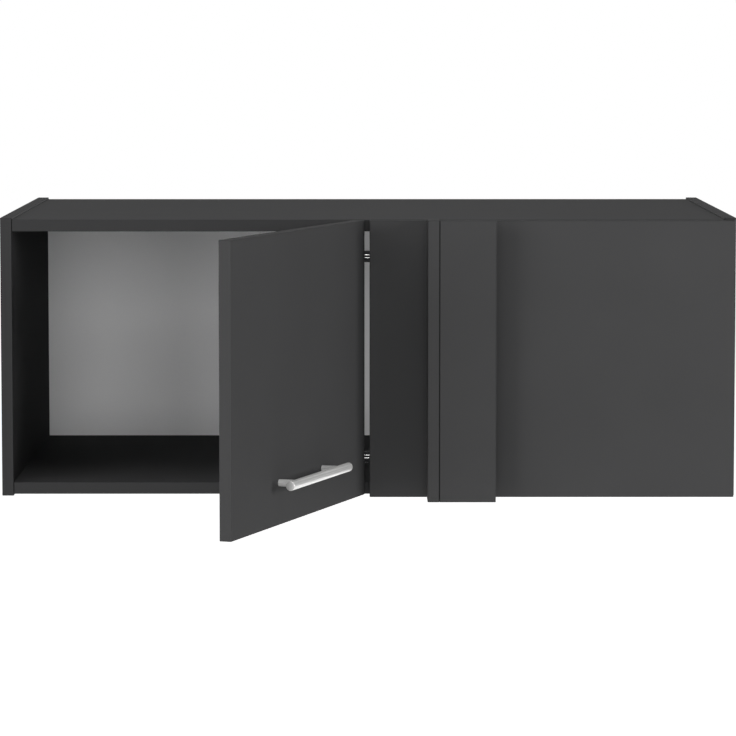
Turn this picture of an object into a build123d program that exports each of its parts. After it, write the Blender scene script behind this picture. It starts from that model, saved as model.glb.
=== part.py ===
from build123d import *
import os

# Corner wall cabinet with a blind front: a flat-pack carcase that hangs on a wall, one hinged
# door over its open half, a fixed front over the half that runs into the corner of the room,
# and an L-shaped filler that meets the next cabinet.  All sizes are in millimetres.

# Overall sizes
overall_width = 1000
carcase_height = 380
carcase_depth = 600
board = 16                      # thickness of every board and front
edge_round = 0.8                # rounding on the banded edges
panel_setback = 2.5             # the sides stand this far past the top and bottom panels

# Fronts
front_reveal = 2                # from each end of the carcase to the front beside it
front_gap = 4                   # between the closed door and the fixed front
door_gap = 1.5                  # between the closed door and the carcase
door_lift = 2.5                 # underside of the door above the underside of the carcase
top_reveal = 3                  # top of the fronts below the top of the sides

# Corner filler
filler_offset = 78              # from the fixed front's free edge to the return strip
filler_reach = 56               # how far the filler stands out from the fixed front
fixing_strip_width = 76

# Back panel and the recess behind it
back_thickness = 3
hanging_recess = 16
groove_depth = 8
groove_play = 0.1
back_play = 0.5

# Cam connectors and dowels between the sides and the top and bottom panels
connector_front_inset = 40      # from the carcase's front edge
connector_rear_inset = 60       # from the wall
dowel_spacing = 32              # from each connector to the dowel beside it
cam_distance = 34               # from the panel's end to the cam's centre
cam_radius = 7.5
cam_depth = 12.7
bolt_thread_radius = 2.9
bolt_thread_length = 10
bolt_shank_radius = 2.6
bolt_head_radius = 3.6
bolt_head_length = 4
bolt_channel_radius = 4
dowel_radius = 4
dowel_length = 30
dowel_in_side = 10
dowel_chamfer = 1
driver_slot_width = 2
driver_slot_depth = 2
hardware_play = 0.1             # around cams, bolts, dowels and cups
thread_play = 0.05              # around a screw's thread

# Angle brackets and their screws
bracket_leg = 20
bracket_width = 16
bracket_thickness = 1.5
bracket_inset = 90              # of the outer brackets from the ends of the fixed front
bracket_hole_share = 0.6        # how far out along the leg each hole is
short_screw_radius = 1.75
short_screw_length = 13
short_screw_head = 3.2
short_screw_head_height = 2
long_screw_radius = 2
long_screw_length = 36
long_screw_head = 4
long_screw_head_height = 2.6
filler_screw_inset = 60         # of the end screws from the ends of the return strip

# Concealed hinges.  Pin places are measured from the closed door's inner corner beside the gap.
hinge_inset = 50                # of each hinge's middle from the door's end
rest_angle = 70.5               # how far the door stands open in the stored pose
full_angle = 95
short_turn = -0.448             # turn of the short link for each degree the door opens
long_turn = -0.331              # turn of the long link for each degree the door opens
short_arm_pin = (-27.5, 12.1)
short_cup_pin = (-9.6, -1.6)
long_arm_pin = (-43.7, 5.4)
long_cup_pin = (-14.8, -1.7)
long_link_length = 29.45
long_link_angle = -2.2          # the long link's direction against its two pins, door closed
pin_radius = 1.2
pin_fit = 0.05
link_eye = 2.6
link_half_width = 1.6
short_link_bow = 4              # how far the short link bends round the cup's rim
short_link_half = 3.4           # half the height of the short link
fork_inner = 3.7                # inner face of the long link's cheeks, from the hinge's middle
fork_outer = 5.6
fork_barrel = 2.4
hook_half_width = 2.8
slot_half_width = 1.6
hook_low = -3.8
slot_low = -2.6
hook_high = 1.5
hook_corner = 1
wall_inner = 6                  # inner face of the arm's and the cup's walls
wall_outer = 7.5

# Hinge cup
cup_radius = 17.5
cup_edge_distance = 3
cup_bore_depth = 11.5
cup_wall = 1
cup_flange_radius = 19.5
cup_flange_thickness = 1.2
cup_screw_spacing = 45
cup_screw_offset = 9.5
cup_wing_radius = 6
cup_screw_length = 12
cup_notch_half = 4.2            # half the height of the notch that the short link swings into
cup_notch_depth = 0.7           # below the door's inner face
lug_left = 3                    # of the cup's lugs past the far pin
lug_right = 2.7                 # of the cup's lugs past the near pin

# Hinge arm and mounting plate, on the back of the fixed front
arm_tip = 3.3                   # of the arm past its last pin
arm_web_low = 13.5
arm_web_thickness = 1.5
arm_wall_low = 3.2
plate_start = 8                 # from the fixed front's free edge
plate_length = 36
plate_thickness = 2
plate_half_height = 24
plate_screw_spacing = 32
saddle_height = 8
saddle_half = 5.7
arm_screw_places = (10, 26)     # along the plate
arm_screw_radius = 1.9
arm_screw_head = 3.2
arm_screw_head_height = 2.2
spring_wire_radius = 0.7
spring_half_spacing = 2
spring_start = 4.5              # from the short link's arm pin
spring_end = 6                  # past the fixed front's free edge

# Bar handle
handle_height = 54.5            # of its middle above the door's underside
handle_spacing = 160
handle_overhang = 30
handle_radius = 6
handle_standoff = 26            # from the door's face to the bar's middle
post_radius = 4.6
handle_screw_radius = 2
handle_screw_grip = 9           # of the screw inside the post
handle_screw_head = 3.8
handle_screw_head_height = 2.2

# Door bumpers
bumper_radius = 4
bumper_thickness = 1.2
bumper_inset = 8

# Hidden hangers, their wall plates and the caps over their adjusting screws
fixing_drop = 43.5              # middle of the wall fixings below the top panel
fixing_spacing = 32             # between the two holes of one wall plate
fixing_inset = 74               # of the holes from the side panel
fixing_hole_radius = 3
wall_plate_width = 100
wall_plate_thickness = 2
wall_plate_inset = 4
wall_plate_drop = 28            # below the middle of its fixings
lip_forward = 7                 # of the lip's rear face from the wall
lip_base = 23                   # above the middle of the fixings
lip_height = 16.5
hanger_width = 50
hanger_half_height = 26
hanger_thickness = 2
hanger_depth = 12.7
hook_width = 24
hook_thickness = 2.5
hook_tip_drop = 10
hook_gap = 1.3                  # between the hook's tip and the lip
adjuster_inset = 28             # of the hook's middle from the side panel
adjuster_spacing = 14
adjuster_rise = 12              # above the hanger's middle
adjuster_radius = 1.9
adjuster_head = 3.4
adjuster_head_height = 1.8
access_hole_radius = 4.6
cap_radius = 6
cap_thickness = 1.2
cap_plug_length = 0.9

# Worked out from the sizes above
half_width = overall_width / 2
inner_half = half_width - board
top_low = carcase_height - panel_setback - board
top_high = top_low + board
bottom_low = panel_setback
bottom_high = bottom_low + board
back_front = carcase_depth - hanging_recess - back_thickness
back_rear = carcase_depth - hanging_recess
fixed_edge = front_gap / 2
fixed_end = half_width - front_reveal
front_top = carcase_height - top_reveal
door_edge = -front_gap / 2
door_free_edge = -half_width + front_reveal
door_face = -door_gap - board
return_left = fixed_edge + filler_offset
return_right = return_left + board
filler_front = -board - filler_reach
connector_rows = (connector_front_inset, carcase_depth - connector_rear_inset)
dowel_rows = (connector_rows[0] + dowel_spacing, sum(connector_rows) / 2,
              connector_rows[1] - dowel_spacing)
fixing_height = top_low - fixing_drop
lip_top = fixing_height + lip_base + lip_height
hanger_middle = lip_top + hook_thickness - hanger_half_height
adjuster_height = hanger_middle + adjuster_rise
hinge_heights = {"lower": door_lift + hinge_inset, "upper": front_top - hinge_inset}

# The carcase's own frame: middle of its width, front of the boards, underside of the sides.
# The part's origin is on the wall, in the middle of the four wall fixings.
carcase = Plane(origin=(0, -carcase_depth, -fixing_height), x_dir=(1, 0, 0), z_dir=(0, 0, 1))


def hinge_point(place):
    """Turn a pin's place beside the closed door's corner into carcase coordinates."""
    return Vector(door_edge + place[0], -door_gap + place[1], 0)


def turned(vector, degrees):
    return vector.rotate(Axis.Z, degrees)


def frame_at(spot, degrees):
    """An upright frame with its origin at a spot in carcase coordinates, turned about Z."""
    return Plane(origin=carcase.from_local_coords(spot), x_dir=turned(Vector(1, 0, 0), degrees),
                 z_dir=(0, 0, 1))


# The door hangs from the short links: it turns about the cup pin while the link turns about
# the arm pin.  Both turns are counted from the closed door.
short_arm = hinge_point(short_arm_pin)
short_cup = hinge_point(short_cup_pin)
long_arm = hinge_point(long_arm_pin)
long_cup = hinge_point(long_cup_pin)
short_span = short_cup - short_arm
short_length = short_span.length
short_direction = Vector(1, 0, 0).get_signed_angle(short_span, Vector(0, 0, 1))
long_direction = Vector(1, 0, 0).get_signed_angle(long_cup - long_arm, Vector(0, 0, 1))
short_cup_open = short_arm + turned(short_span, short_turn * rest_angle)
door_origin = short_cup_open - turned(short_cup, rest_angle)

# In the door's frame the coordinates are those of the closed door in the carcase.
door = frame_at(door_origin, rest_angle)
short_frame = frame_at(short_arm, short_direction + short_turn * rest_angle)
long_frame = frame_at(long_arm, long_direction + long_link_angle + long_turn * rest_angle)


def at(frame, x, y, z):
    return frame.from_local_coords(Vector(x, y, z))


def slab(frame, corner, opposite, mode=Mode.ADD):
    """Add or cut a block between two opposite corners in a frame's coordinates."""
    middle = ((corner[0] + opposite[0]) / 2, (corner[1] + opposite[1]) / 2)
    with BuildSketch(frame.offset(min(corner[2], opposite[2]))) as outline:
        with Locations(middle):
            Rectangle(abs(opposite[0] - corner[0]), abs(opposite[1] - corner[1]))
    extrude(outline.sketch, amount=abs(opposite[2] - corner[2]), mode=mode)


def round_bar(spot, direction, radius, length, mode=Mode.ADD):
    """Add or cut a round bar that starts at a spot and runs along a direction."""
    with BuildSketch(Plane(origin=spot, z_dir=direction)) as circle:
        Circle(radius)
    extrude(circle.sketch, amount=length, mode=mode)


def screw(spot, direction, radius, length, head, head_height, sunk):
    """A cross-head screw.  The spot is the middle of the face that its head lies on or in."""
    up = Vector(0, 0, 1) if abs(direction.Z) < 0.5 else Vector(1, 0, 0)
    start = 0 if sunk else -head_height
    shoulder = head_height if sunk else 0
    with BuildPart() as body:
        with BuildSketch(Plane(origin=spot, x_dir=direction, z_dir=up)):
            with BuildLine():
                if sunk:
                    Polyline((start, 0), (start, head), (shoulder, radius),
                             (length - radius, radius), (length, 0), (start, 0))
                else:
                    Polyline((start, 0), (start, head * 0.7), (start * 0.4, head), (0, head),
                             (0, radius), (length - radius, radius), (length, 0), (start, 0))
            make_face()
        revolve(axis=Axis(spot, direction))
        with BuildSketch(Plane(origin=spot + direction * start, z_dir=direction)):
            Rectangle(head * 1.1, head * 0.24)
            Rectangle(head * 0.24, head * 1.1)
        extrude(amount=head_height * 0.6, mode=Mode.SUBTRACT)
    return body.part


def screw_hole(spot, direction, radius, length):
    round_bar(spot, direction, radius + thread_play, length + 3 * thread_play, Mode.SUBTRACT)


def sunk_hole(spot, direction, radius, head, head_height, length):
    """A hole through a board, countersunk where the screw's head lies in its face."""
    screw_hole(spot, direction, radius, length)
    with BuildSketch(Plane(origin=spot, z_dir=direction)) as mouth:
        Circle(head + thread_play)
    with BuildSketch(Plane(origin=spot + direction * head_height, z_dir=direction)) as neck:
        Circle(radius + thread_play)
    loft([mouth.sketch.face(), neck.sketch.face()], mode=Mode.SUBTRACT)


def save(shape, name):
    shape.label = name
    export_step(shape, f"parts/{name}.step")


def save_group(shapes, name):
    save(Compound(children=list(shapes)), name)


os.makedirs("parts", exist_ok=True)

right = Vector(1, 0, 0)
back = Vector(0, 1, 0)
up = Vector(0, 0, 1)

# Frames of the angle brackets: origin on the edge where two faces meet, y out of the front
# they hold, z out of the board they hold it to.
bracket_columns = {"inner": fixed_edge + bracket_inset, "outer": fixed_end - bracket_inset}
bracket_levels = {"upper": carcase_height * 2 / 3, "lower": carcase_height / 3}
top_brackets = {f"top_{place}_bracket": Plane(origin=at(carcase, x, 0, top_low),
                                              x_dir=-right, z_dir=-up)
                for place, x in bracket_columns.items()}
bottom_brackets = {f"bottom_{place}_bracket": Plane(origin=at(carcase, x, 0, bottom_high),
                                                    x_dir=right, z_dir=up)
                   for place, x in bracket_columns.items()}
side_brackets = {f"side_{place}_bracket": Plane(origin=at(carcase, inner_half, 0, z),
                                                x_dir=up, z_dir=-right)
                 for place, z in bracket_levels.items()}
front_brackets = {**top_brackets, **bottom_brackets, **side_brackets}
filler_brackets = {f"filler_{place}_bracket": Plane(
                       origin=at(carcase, return_right, filler_front + board, z),
                       x_dir=up, z_dir=back)
                   for place, z in bracket_levels.items()}
bracket_hole = bracket_leg * bracket_hole_share


def board_screw(frame):
    """Where a bracket's screw goes into the board, and which way."""
    return at(frame, 0, bracket_hole, bracket_thickness), -frame.z_dir


def front_screw(frame):
    """Where a bracket's screw goes into the front, and which way."""
    return at(frame, 0, bracket_thickness, bracket_hole), -frame.y_dir


def bracket_pilot(place):
    spot, direction = place
    screw_hole(spot, direction, short_screw_radius, short_screw_length)


# Carcase --------------------------------------------------------------------------------


def connector_axis(side, panel_low, depth):
    """The point on a side panel's inner face where a connector or dowel crosses it."""
    return at(carcase, side * inner_half, depth, panel_low + board / 2)


def side_panel(side, brackets):
    with BuildPart() as panel:
        slab(carcase, (side * half_width, 0, 0), (side * inner_half, carcase_depth, carcase_height))
        fillet(panel.edges(), edge_round)
        slab(carcase, (side * inner_half, back_front - groove_play, bottom_high - groove_depth),
             (side * (inner_half + groove_depth), back_rear + groove_play, top_low + groove_depth),
             Mode.SUBTRACT)
        for panel_low in (bottom_low, top_low):
            for depth in connector_rows:
                round_bar(connector_axis(side, panel_low, depth), side * right,
                          bolt_thread_radius + thread_play, bolt_thread_length + hardware_play,
                          Mode.SUBTRACT)
            for depth in dowel_rows:
                round_bar(connector_axis(side, panel_low, depth), side * right,
                          dowel_radius + hardware_play, dowel_in_side + hardware_play,
                          Mode.SUBTRACT)
        for frame in brackets:
            bracket_pilot(board_screw(frame))
        for spot in hanger_screw_spots(side):
            screw_hole(spot, side * right, short_screw_radius, short_screw_length)
    return panel.part


def level_panel(panel_low, groove_from, groove_to, brackets):
    """The top or the bottom panel, between the sides, with its cams opening downwards."""
    with BuildPart() as panel:
        slab(carcase, (-inner_half, 0, panel_low), (inner_half, carcase_depth, panel_low + board))
        fillet(panel.edges().filter_by(Axis.X), edge_round)
        slab(carcase, (-inner_half, back_front - groove_play, groove_from),
             (inner_half, back_rear + groove_play, groove_to), Mode.SUBTRACT)
        for side in (-1, 1):
            for depth in connector_rows:
                round_bar(connector_axis(side, panel_low, depth), -side * right,
                          bolt_channel_radius, cam_distance, Mode.SUBTRACT)
                round_bar(cam_spot(side, panel_low, depth), up,
                          cam_radius, cam_depth, Mode.SUBTRACT)
            for depth in dowel_rows:
                round_bar(connector_axis(side, panel_low, depth), -side * right,
                          dowel_radius + hardware_play,
                          dowel_length - dowel_in_side + hardware_play, Mode.SUBTRACT)
        for frame in brackets:
            bracket_pilot(board_screw(frame))
    return panel.part


def cam_spot(side, panel_low, depth):
    return at(carcase, side * (inner_half - cam_distance), depth, panel_low)


def hanger_screw_spots(side):
    """Heads of the screws that hold a hanger to its side panel."""
    depth = carcase_depth - hanging_recess / 2 + hanger_thickness
    offset = hanger_half_height * 0.7
    return [at(carcase, side * (inner_half - hanger_thickness), depth, hanger_middle + step)
            for step in (-offset, offset)]


save(side_panel(-1, []), "side_panel_left")
save(side_panel(1, side_brackets.values()), "side_panel_right")
save(level_panel(top_low, top_low, top_low + groove_depth, top_brackets.values()), "top_panel")
save(level_panel(bottom_low, bottom_high - groove_depth, bottom_high,
                 bottom_brackets.values()), "bottom_panel")


def adjuster_places(side):
    """Across and up the back: the two adjusting screws of one hanger."""
    middle = inner_half - adjuster_inset
    return [(side * (middle + step), adjuster_height)
            for step in (-adjuster_spacing / 2, adjuster_spacing / 2)]


with BuildPart() as back_panel:
    slab(carcase, (-inner_half - groove_depth + back_play, back_front,
                   bottom_high - groove_depth + back_play),
         (inner_half + groove_depth - back_play, back_rear, top_low + groove_depth - back_play))
    for side in (-1, 1):
        for x, z in adjuster_places(side):
            round_bar(at(carcase, x, back_front, z), back, access_hole_radius,
                      back_thickness, Mode.SUBTRACT)
save(back_panel.part, "back_panel")

# Fixed front and corner filler ----------------------------------------------------------


def front_board(frame, left, right_end, low, high, face):
    slab(frame, (left, face, low), (right_end, face + board, high))


def filler_screw_spots():
    heights = (filler_screw_inset, carcase_height / 2, carcase_height - filler_screw_inset)
    return [at(carcase, (return_left + return_right) / 2, 0, z) for z in heights]


def plate_screw_spots(height):
    middle = fixed_edge + plate_start + plate_length / 2
    return [at(carcase, middle, plate_thickness, height + step)
            for step in (-plate_screw_spacing / 2, plate_screw_spacing / 2)]


with BuildPart() as fixed_front_panel:
    front_board(carcase, fixed_edge, fixed_end, 0, front_top, -board)
    fillet(fixed_front_panel.edges(), edge_round)
    for frame in front_brackets.values():
        bracket_pilot(front_screw(frame))
    for spot in filler_screw_spots():
        sunk_hole(spot, -back, long_screw_radius, long_screw_head, long_screw_head_height, board)
    for height in hinge_heights.values():
        for spot in plate_screw_spots(height):
            screw_hole(spot, -back, short_screw_radius, short_screw_length)
save(fixed_front_panel.part, "fixed_front_panel")

with BuildPart() as filler_return_strip:
    slab(carcase, (return_left, filler_front, 0), (return_right, -board, carcase_height))
    fillet(filler_return_strip.edges(), edge_round)
    for spot in filler_screw_spots():
        screw_hole(spot, -back, long_screw_radius, long_screw_length)
    for frame in filler_brackets.values():
        bracket_pilot(front_screw(frame))
save(filler_return_strip.part, "filler_return_strip")

with BuildPart() as filler_fixing_strip:
    front_board(carcase, return_right, return_right + fixing_strip_width, 0, carcase_height,
                filler_front)
    fillet(filler_fixing_strip.edges(), edge_round)
    for frame in filler_brackets.values():
        bracket_pilot(board_screw(frame))
save(filler_fixing_strip.part, "filler_fixing_strip")

save_group([screw(spot, -back, long_screw_radius, long_screw_length, long_screw_head,
                  long_screw_head_height, True) for spot in filler_screw_spots()],
           "filler_screws")


# Angle brackets -------------------------------------------------------------------------


def angle_bracket(frame):
    with BuildPart() as bracket:
        slab(frame, (-bracket_width / 2, 0, 0), (bracket_width / 2, bracket_leg, bracket_thickness))
        slab(frame, (-bracket_width / 2, 0, 0), (bracket_width / 2, bracket_thickness, bracket_leg))
        for spot, direction in (board_screw(frame), front_screw(frame)):
            round_bar(spot, direction, short_screw_radius + hardware_play, bracket_thickness,
                      Mode.SUBTRACT)
    return bracket.part


def bracket_screws(frames):
    return [screw(*place(frame), short_screw_radius, short_screw_length, short_screw_head,
                  short_screw_head_height, False)
            for frame in frames for place in (board_screw, front_screw)]


for name, frame in {**front_brackets, **filler_brackets}.items():
    save(angle_bracket(frame), name)
save_group(bracket_screws(front_brackets.values()), "bracket_screws")
save_group(bracket_screws(filler_brackets.values()), "filler_bracket_screws")


# Connectors of the carcase --------------------------------------------------------------


def connector_bolt(side, panel_low, depth):
    """A cam bolt: thread in the side panel, head inside the cam."""
    inward = -side * right
    spot = connector_axis(side, panel_low, depth)
    head_start = cam_distance - bolt_head_length / 2
    with BuildPart() as bolt:
        round_bar(spot - inward * bolt_thread_length, inward, bolt_thread_radius,
                  bolt_thread_length)
        round_bar(spot, inward, bolt_shank_radius, head_start)
        round_bar(spot + inward * head_start, inward, bolt_head_radius, bolt_head_length)
    return bolt.part


def connector_cam(side, panel_low, depth):
    """A cam: a disc with a pocket that takes the bolt's head, and a driver slot."""
    spot = cam_spot(side, panel_low, depth)
    pocket = bolt_head_radius + hardware_play
    axis_height = panel_low + board / 2
    centre = side * (inner_half - cam_distance)
    with BuildPart() as cam:
        round_bar(spot, up, cam_radius - hardware_play, cam_depth - hardware_play)
        slab(carcase, (centre + side * cam_radius, depth - pocket, axis_height - pocket),
             (centre - side * pocket, depth + pocket, axis_height + pocket), Mode.SUBTRACT)
        slab(carcase, (centre - cam_radius / 2, depth - driver_slot_width / 2, panel_low),
             (centre + cam_radius / 2, depth + driver_slot_width / 2,
              panel_low + driver_slot_depth), Mode.SUBTRACT)
    return cam.part


def dowel(side, panel_low, depth):
    with BuildPart() as pin:
        round_bar(connector_axis(side, panel_low, depth) + side * right * dowel_in_side,
                  -side * right, dowel_radius, dowel_length)
        chamfer(pin.edges(), dowel_chamfer)
    return pin.part


corners = [(side, panel_low) for side in (-1, 1) for panel_low in (bottom_low, top_low)]
save_group([connector_bolt(*corner, depth) for corner in corners for depth in connector_rows],
           "cam_bolts")
save_group([connector_cam(*corner, depth) for corner in corners for depth in connector_rows],
           "cam_locks")
save_group([dowel(*corner, depth) for corner in corners for depth in dowel_rows], "dowels")


# Hangers --------------------------------------------------------------------------------


def hanger_body(side):
    """A steel angle behind the back panel, screwed to the side panel."""
    low = hanger_middle - hanger_half_height
    high = hanger_middle + hanger_half_height
    with BuildPart() as body:
        slab(carcase, (side * inner_half, back_rear, low),
             (side * (inner_half - hanger_width), back_rear + hanger_thickness, high))
        slab(carcase, (side * inner_half, back_rear, low),
             (side * (inner_half - hanger_thickness), back_rear + hanger_depth, high))
        for spot in hanger_screw_spots(side):
            round_bar(spot, side * right, short_screw_radius + hardware_play, hanger_thickness,
                      Mode.SUBTRACT)
        for x, z in adjuster_places(side):
            round_bar(at(carcase, x, back_rear, z), back, adjuster_radius + hardware_play,
                      hanger_thickness, Mode.SUBTRACT)
    return body.part


def hanger_hook(side):
    """The hook that hangs over the wall plate's lip and carries the cabinet."""
    middle = inner_half - adjuster_inset
    outer = side * (middle + hook_width / 2)
    inner = side * (middle - hook_width / 2)
    front_face = back_rear + hanger_thickness
    tip_front = carcase_depth - lip_forward + hook_gap
    tip_rear = tip_front + hook_thickness
    with BuildPart() as hook:
        slab(carcase, (outer, front_face, hanger_middle - hanger_half_height),
             (inner, front_face + hook_thickness, lip_top + hook_thickness))
        slab(carcase, (outer, front_face, lip_top), (inner, tip_rear, lip_top + hook_thickness))
        slab(carcase, (outer, tip_front, lip_top - hook_tip_drop), (inner, tip_rear, lip_top))
        for x, z in adjuster_places(side):
            round_bar(at(carcase, x, front_face, z), back, adjuster_radius + thread_play,
                      hook_thickness, Mode.SUBTRACT)
    return hook.part


def wall_plate(side):
    """Screwed to the wall: a flat plate with a lip that stands forward at its top."""
    outer = side * (inner_half - wall_plate_inset)
    inner = side * (inner_half - wall_plate_inset - wall_plate_width)
    wall_face = carcase_depth - wall_plate_thickness
    lip_rear = carcase_depth - lip_forward
    lip_front = lip_rear - wall_plate_thickness
    shelf_low = fixing_height + lip_base
    with BuildPart() as plate:
        slab(carcase, (outer, wall_face, fixing_height - wall_plate_drop),
             (inner, carcase_depth, shelf_low + wall_plate_thickness))
        slab(carcase, (outer, lip_front, shelf_low),
             (inner, carcase_depth, shelf_low + wall_plate_thickness))
        slab(carcase, (outer, lip_front, shelf_low), (inner, lip_rear, lip_top))
        for step in (-fixing_spacing / 2, fixing_spacing / 2):
            round_bar(at(carcase, side * (inner_half - fixing_inset), wall_face,
                         fixing_height + step),
                      back, fixing_hole_radius, wall_plate_thickness, Mode.SUBTRACT)
    return plate.part


def hanger_screws(side):
    return [screw(spot, side * right, short_screw_radius, short_screw_length, short_screw_head,
                  short_screw_head_height, False) for spot in hanger_screw_spots(side)]


def adjuster_screws(side):
    """The screws that set the hook, reached from inside through the back panel."""
    length = hanger_thickness + hook_thickness
    return [screw(at(carcase, x, back_rear, z), back, adjuster_radius, length, adjuster_head,
                  adjuster_head_height, False) for x, z in adjuster_places(side)]


def access_cap(x, z):
    """A cap that closes the access hole from inside the cabinet."""
    with BuildPart() as cap:
        round_bar(at(carcase, x, back_front - cap_thickness, z), back, cap_radius, cap_thickness)
        fillet(cap.faces().sort_by(Axis.Y)[0].edges(), cap_thickness / 2)
        round_bar(at(carcase, x, back_front, z), back, access_hole_radius - hardware_play,
                  cap_plug_length)
    return cap.part


for side, name in ((-1, "left"), (1, "right")):
    save(hanger_body(side), f"hanger_body_{name}")
    save(hanger_hook(side), f"hanger_hook_{name}")
    save(wall_plate(side), f"wall_plate_{name}")
save_group([piece for side in (-1, 1) for piece in hanger_screws(side)], "hanger_screws")
save_group([piece for side in (-1, 1) for piece in adjuster_screws(side)], "adjuster_screws")
save_group([access_cap(x, z) for side in (-1, 1) for x, z in adjuster_places(side)],
           "access_caps")


# Door -----------------------------------------------------------------------------------

cup_middle = door_edge - cup_edge_distance - cup_radius
door_middle = (door_edge + door_free_edge) / 2
bar_height = door_lift + handle_height
post_places = {"near": door_middle + handle_spacing / 2, "far": door_middle - handle_spacing / 2}
cup_screw_line = cup_middle - cup_screw_offset
flange_top = -door_gap + cup_flange_thickness


def cup_screw_spots(height):
    return [at(door, cup_screw_line, flange_top, height + step)
            for step in (-cup_screw_spacing / 2, cup_screw_spacing / 2)]


with BuildPart() as door_panel:
    front_board(door, door_free_edge, door_edge, door_lift, front_top, door_face)
    fillet(door_panel.edges(), edge_round)
    for height in hinge_heights.values():
        round_bar(at(door, cup_middle, -door_gap, height), -door.y_dir, cup_radius,
                  cup_bore_depth, Mode.SUBTRACT)
        for spot in cup_screw_spots(height):
            screw_hole(spot, -door.y_dir, short_screw_radius, cup_screw_length)
    for x in post_places.values():
        round_bar(at(door, x, door_face, bar_height), door.y_dir,
                  handle_screw_radius + hardware_play, board, Mode.SUBTRACT)
save(door_panel.part, "door_panel")


def bumper(height):
    with BuildPart() as pad:
        round_bar(at(door, door_free_edge + bumper_inset, -door_gap, height), door.y_dir,
                  bumper_radius, bumper_thickness)
        fillet(pad.faces().sort_by(Axis(pad.part.center(), door.y_dir))[-1].edges(),
               bumper_thickness * 0.6)
    return pad.part


save_group([bumper(door_lift + bumper_inset), bumper(front_top - bumper_inset)], "door_bumpers")


def handle_post(x):
    """A post between the door and the bar, bored for its screw and saddled to the bar."""
    with BuildPart() as post:
        round_bar(at(door, x, door_face, bar_height), -door.y_dir, post_radius, handle_standoff)
        round_bar(at(door, x, door_face, bar_height), -door.y_dir,
                  handle_screw_radius + thread_play, handle_screw_grip + 3 * thread_play,
                  Mode.SUBTRACT)
        round_bar(at(door, x - 2 * post_radius, door_face - handle_standoff, bar_height),
                  door.x_dir, handle_radius, 4 * post_radius, Mode.SUBTRACT)
    return post.part


with BuildPart() as handle_bar:
    bar_start = post_places["far"] - handle_overhang
    round_bar(at(door, bar_start, door_face - handle_standoff, bar_height), door.x_dir,
              handle_radius, handle_spacing + 2 * handle_overhang)
    fillet(handle_bar.edges().filter_by(GeomType.CIRCLE), edge_round)
save(handle_bar.part, "handle_bar")

for place, x in post_places.items():
    save(handle_post(x), f"handle_post_{place}")
save_group([screw(at(door, x, -door_gap, bar_height), -door.y_dir, handle_screw_radius,
                  board + handle_screw_grip, handle_screw_head, handle_screw_head_height, False)
            for x in post_places.values()], "handle_screws")


# Hinges ---------------------------------------------------------------------------------


def upright_pin(frame, x, y, low, high):
    with BuildPart() as pin:
        round_bar(at(frame, x, y, low), up, pin_radius, high - low)
    return pin.part


def hinge_cup(height):
    """The cup in the door, with its screw wings and the two lugs that hold the pins."""
    far_pin = long_cup.X
    near_pin = short_cup.X
    cup_floor = -door_gap - cup_bore_depth + hardware_play + cup_wall
    with BuildPart() as cup:
        with BuildSketch(Plane(origin=at(door, cup_middle, -door_gap, height),
                               x_dir=door.x_dir, z_dir=door.y_dir)) as rim:
            Circle(cup_flange_radius)
            with Locations((-cup_screw_offset, 0)):
                SlotCenterToCenter(cup_screw_spacing, 2 * cup_wing_radius, rotation=90)
        extrude(rim.sketch, amount=cup_flange_thickness)
        round_bar(at(door, cup_middle, -door_gap, height), -door.y_dir,
                  cup_radius - hardware_play, cup_bore_depth - hardware_play)
        round_bar(at(door, cup_middle, flange_top, height), -door.y_dir,
                  cup_radius - hardware_play - cup_wall,
                  cup_flange_thickness + cup_bore_depth - hardware_play - cup_wall,
                  Mode.SUBTRACT)
        slab(door, (cup_middle, -door_gap - cup_notch_depth, height - cup_notch_half),
             (cup_middle + cup_flange_radius, flange_top, height + cup_notch_half), Mode.SUBTRACT)
        for side in (-1, 1):
            slab(door, (far_pin - lug_left, cup_floor, height + side * wall_inner),
                 (near_pin + lug_right, flange_top - cup_flange_thickness,
                  height + side * wall_outer))
        for pin in (short_cup, long_cup):
            round_bar(at(door, pin.X, pin.Y, height - wall_outer), up,
                      pin_radius + thread_play, 2 * wall_outer, Mode.SUBTRACT)
        for spot in cup_screw_spots(height):
            sunk_hole(spot, -door.y_dir, short_screw_radius, short_screw_head,
                      cup_flange_thickness, cup_flange_thickness)
    return cup.part


def hinge_arm(height):
    """The channel-shaped arm that reaches from the fixed front to behind the cup."""
    tip = long_arm.X - arm_tip
    rear_end = fixed_edge + plate_start + plate_length
    with BuildPart() as arm:
        slab(carcase, (tip, arm_web_low, height - wall_outer),
             (rear_end, arm_web_low + arm_web_thickness, height + wall_outer))
        for side in (-1, 1):
            low = height + min(side * wall_inner, side * wall_outer)
            with BuildSketch(carcase.offset(low)) as wall:
                with BuildLine():
                    Polyline((tip, arm_web_low), (tip, long_arm.Y), (long_arm.X, arm_wall_low),
                             (rear_end, arm_wall_low), (rear_end, arm_web_low),
                             (tip, arm_web_low))
                make_face()
                with Locations((long_arm.X, long_arm.Y)):
                    Circle(link_eye)
            extrude(wall.sketch, amount=wall_outer - wall_inner)
        for pin in (short_arm, long_arm):
            round_bar(at(carcase, pin.X, pin.Y, height - wall_outer), up,
                      pin_radius + thread_play, 2 * wall_outer, Mode.SUBTRACT)
        for place in arm_screw_places:
            round_bar(at(carcase, fixed_edge + plate_start + place, arm_web_low, height), back,
                      arm_screw_radius + hardware_play, arm_web_thickness, Mode.SUBTRACT)
    return arm.part


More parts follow.
